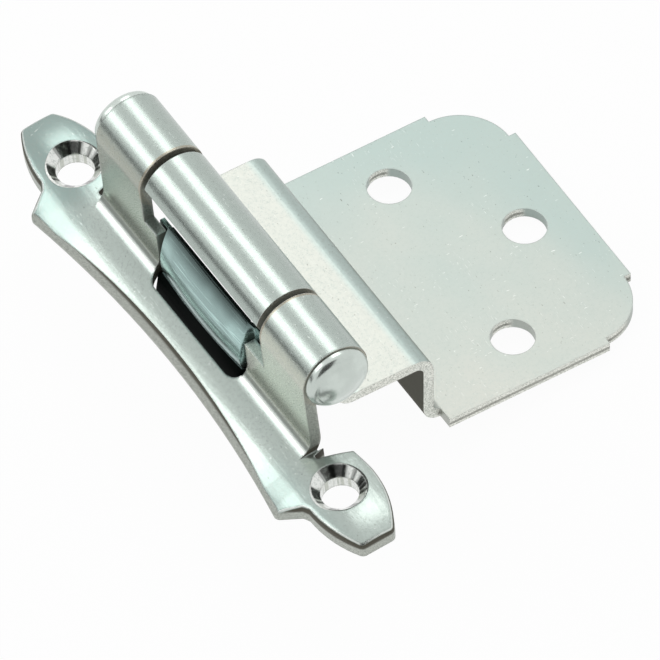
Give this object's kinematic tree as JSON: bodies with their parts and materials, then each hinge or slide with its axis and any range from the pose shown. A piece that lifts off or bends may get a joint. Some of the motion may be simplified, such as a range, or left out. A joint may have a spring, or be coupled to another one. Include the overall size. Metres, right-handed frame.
{
  "type": "cranked hinge",
  "caption": "Self-closing cranked cabinet hinge: a shaped face leaf and a stepped door plate turn on a headed pin against a bowed spring plate.",
  "frame": {"origin": "midway between the frame leaf's screw holes, on the face that lies against the cabinet frame", "axes": "+X from the frame leaf towards the door, +Y along the hinge pin, +Z off the cabinet frame through the screw holes"},
  "size_m": [0.0532, 0.0702, 0.0301],
  "materials": {
    "frame_sheet": "bright zinc plating, pressed and sheared",
    "door_sheet": "fine matt zinc plating",
    "pin_steel": "bright zinc plating",
    "spring_steel": "glossy bluish spring steel"
  },
  "bodies": {
    "frame_side": {"frame_wing": "frame_sheet", "hinge_pin": "pin_steel", "closing_spring": "spring_steel"},
    "door_side": {"door_wing": "door_sheet"}
  },
  "joints": [
    {"name": "door_swing", "type": "hinge", "parent": "frame_side", "child": "door_side", "pos_m": [0.00435, 0, 0.01325], "axis": [0, -1, 0], "range_deg": [0, 186], "deforming": ["closing_spring"]}
  ]
}
